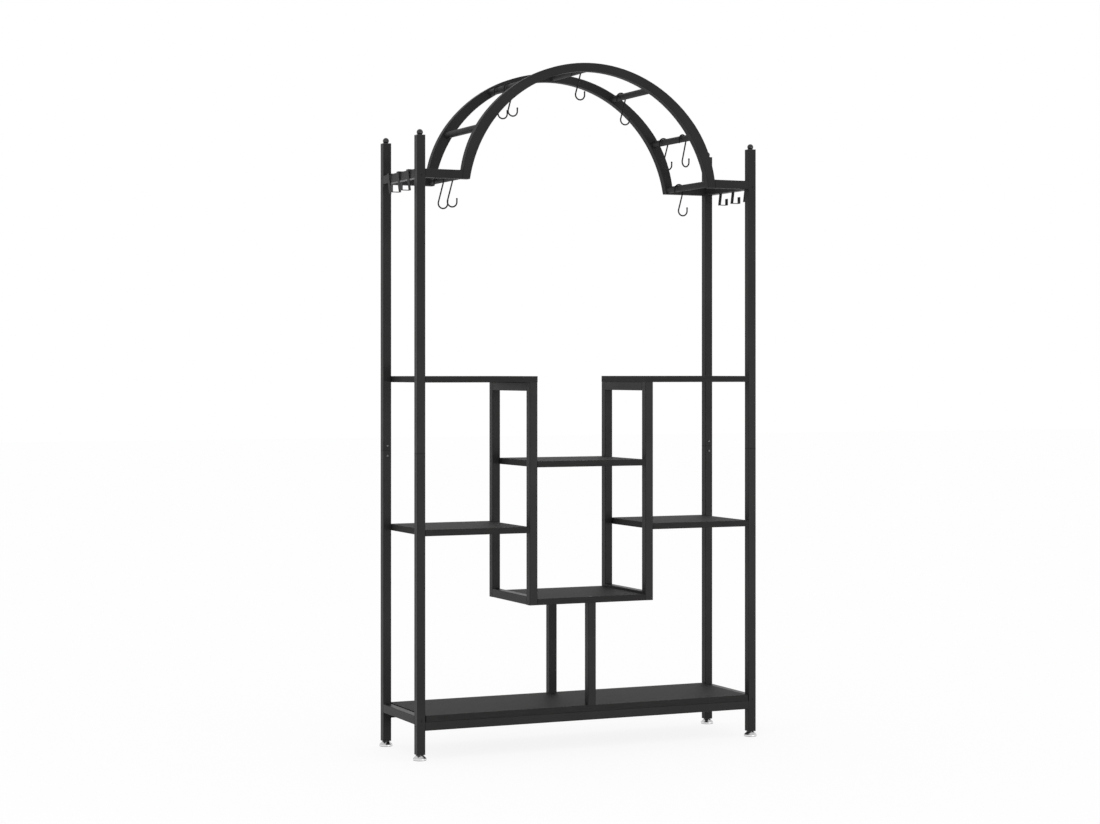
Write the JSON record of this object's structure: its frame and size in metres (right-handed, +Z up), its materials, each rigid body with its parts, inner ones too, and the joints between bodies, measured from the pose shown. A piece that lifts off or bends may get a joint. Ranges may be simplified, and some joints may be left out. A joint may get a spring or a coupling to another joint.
{
  "type": "tiered plant stand",
  "caption": "Tall arched plant stand of black square steel tube with stepped black boards, rungs along the arch, S hooks, strap hooks and levelling feet.",
  "frame": {"origin": "on the floor, under the middle of the footprint", "axes": "+Z up, +X to the right as seen from the front, the front faces -Y"},
  "size_m": [1.1462, 0.3136, 2.0132],
  "materials": {
    "black_steel": "satin powder coat",
    "black_wire": "satin black coating",
    "black_board": "matte black laminate on board",
    "gloss_caps": "gloss black",
    "black_plastic": "matte black",
    "chrome_feet": "bright",
    "black_fasteners": "satin black coating",
    "dark_zinc": "black zinc",
    "zinc_steel": "bright zinc"
  },
  "bodies": {
    "frame": {"lower_upright_front_left": "black_steel", "lower_upright_front_right": "black_steel", "lower_upright_back_left": "black_steel", "lower_upright_back_right": "black_steel", "upper_upright_front_left": "black_steel", "upper_upright_front_right": "black_steel", "upper_upright_back_left": "black_steel", "upper_upright_back_right": "black_steel", "joint_sleeves": "zinc_steel", "joint_screws": "dark_zinc", "ball_caps": "gloss_caps", "foot_inserts": "black_plastic", "bottom_rail_front": "black_steel", "bottom_rail_back": "black_steel", "bottom_side_rail_left": "black_steel", "bottom_side_rail_right": "black_steel", "bottom_board": "black_board", "centre_post_front": "black_steel", "centre_post_back": "black_steel", "centre_frame_left": "black_steel", "centre_frame_right": "black_steel", "centre_lower_board": "black_board", "centre_upper_board": "black_board", "mid_board_left": "black_board", "mid_board_right": "black_board", "top_board_left": "black_board", "top_board_right": "black_board", "arch_front": "black_steel", "arch_back": "black_steel", "upper_side_rail_left": "black_steel", "upper_side_rail_right": "black_steel", "rung_foot_left": "black_steel", "rung_outer_left": "black_steel", "rung_inner_left": "black_steel", "rung_crown": "black_steel", "rung_inner_right": "black_steel", "rung_outer_right": "black_steel", "rung_foot_right": "black_steel", "tube_plugs": "black_plastic", "frame_bolts": "black_fasteners", "board_screws": "black_fasteners"},
    "foot_front_left": {"foot_front_left": "chrome_feet"},
    "foot_front_right": {"foot_front_right": "chrome_feet"},
    "foot_back_left": {"foot_back_left": "chrome_feet"},
    "foot_back_right": {"foot_back_right": "chrome_feet"},
    "s_hook_1": {"s_hook_1": "black_wire"},
    "s_hook_2": {"s_hook_2": "black_wire"},
    "s_hook_3": {"s_hook_3": "black_wire"},
    "s_hook_4": {"s_hook_4": "black_wire"},
    "s_hook_5": {"s_hook_5": "black_wire"},
    "s_hook_6": {"s_hook_6": "black_wire"},
    "s_hook_7": {"s_hook_7": "black_wire"},
    "s_hook_8": {"s_hook_8": "black_wire"},
    "s_hook_9": {"s_hook_9": "black_wire"},
    "strap_hook_left_back": {"strap_hook_left_back": "black_steel"},
    "strap_hook_left_middle": {"strap_hook_left_middle": "black_steel"},
    "strap_hook_left_front": {"strap_hook_left_front": "black_steel"},
    "strap_hook_right_back": {"strap_hook_right_back": "black_steel"},
    "strap_hook_right_middle": {"strap_hook_right_middle": "black_steel"},
    "strap_hook_right_front": {"strap_hook_right_front": "black_steel"}
  },
  "joints": [
    {"name": "foot_front_left_level", "type": "slide", "parent": "frame", "child": "foot_front_left", "axis": [0, 0, 1], "range_m": [-0.01, 0.0012]},
    {"name": "foot_front_right_level", "type": "slide", "parent": "frame", "child": "foot_front_right", "axis": [0, 0, 1], "range_m": [-0.01, 0.0012]},
    {"name": "foot_back_left_level", "type": "slide", "parent": "frame", "child": "foot_back_left", "axis": [0, 0, 1], "range_m": [-0.01, 0.0012]},
    {"name": "foot_back_right_level", "type": "slide", "parent": "frame", "child": "foot_back_right", "axis": [0, 0, 1], "range_m": [-0.01, 0.0012]},
    {"name": "s_hook_1_swing", "type": "hinge", "parent": "frame", "child": "s_hook_1", "pos_m": [-0.39776, 0.066, 1.67], "axis": [0, 1, 0], "range_deg": [-45, 45]},
    {"name": "s_hook_2_swing", "type": "hinge", "parent": "frame", "child": "s_hook_2", "pos_m": [-0.39776, -0.006, 1.67], "axis": [0, 1, 0], "range_deg": [-45, 45]},
    {"name": "s_hook_3_swing", "type": "hinge", "parent": "frame", "child": "s_hook_3", "pos_m": [-0.205, 0.068, 1.94395], "axis": [0, 1, 0], "range_deg": [-45, 45]},
    {"name": "s_hook_4_swing", "type": "hinge", "parent": "frame", "child": "s_hook_4", "pos_m": [-0.205, -0.007, 1.94395], "axis": [0, 1, 0], "range_deg": [-45, 45]},
    {"name": "s_hook_5_swing", "type": "hinge", "parent": "frame", "child": "s_hook_5", "pos_m": [0, -0.039, 1.9985], "axis": [0, 1, 0], "range_deg": [-45, 45]},
    {"name": "s_hook_6_swing", "type": "hinge", "parent": "frame", "child": "s_hook_6", "pos_m": [0.205, 0.073, 1.94395], "axis": [0, 1, 0], "range_deg": [-45, 45]},
    {"name": "s_hook_7_swing", "type": "hinge", "parent": "frame", "child": "s_hook_7", "pos_m": [0.34634, 0.064, 1.81006], "axis": [0, 1, 0], "range_deg": [-45, 45]},
    {"name": "s_hook_8_swing", "type": "hinge", "parent": "frame", "child": "s_hook_8", "pos_m": [0.34634, -0.061, 1.81006], "axis": [0, 1, 0], "range_deg": [-45, 45]},
    {"name": "s_hook_9_swing", "type": "hinge", "parent": "frame", "child": "s_hook_9", "pos_m": [0.39776, 0.06, 1.67], "axis": [0, 1, 0], "range_deg": [-45, 45]},
    {"name": "strap_hook_left_back_slide", "type": "slide", "parent": "frame", "child": "strap_hook_left_back", "axis": [0, 1, 0], "range_m": [-0.03, 0.03]},
    {"name": "strap_hook_left_middle_slide", "type": "slide", "parent": "frame", "child": "strap_hook_left_middle", "axis": [0, 1, 0], "range_m": [-0.03, 0.03]},
    {"name": "strap_hook_left_front_slide", "type": "slide", "parent": "frame", "child": "strap_hook_left_front", "axis": [0, 1, 0], "range_m": [-0.03, 0.03]},
    {"name": "strap_hook_right_back_slide", "type": "slide", "parent": "frame", "child": "strap_hook_right_back", "axis": [0, 1, 0], "range_m": [-0.03, 0.03]},
    {"name": "strap_hook_right_middle_slide", "type": "slide", "parent": "frame", "child": "strap_hook_right_middle", "axis": [0, 1, 0], "range_m": [-0.03, 0.03]},
    {"name": "strap_hook_right_front_slide", "type": "slide", "parent": "frame", "child": "strap_hook_right_front", "axis": [0, 1, 0], "range_m": [-0.03, 0.03]}
  ]
}
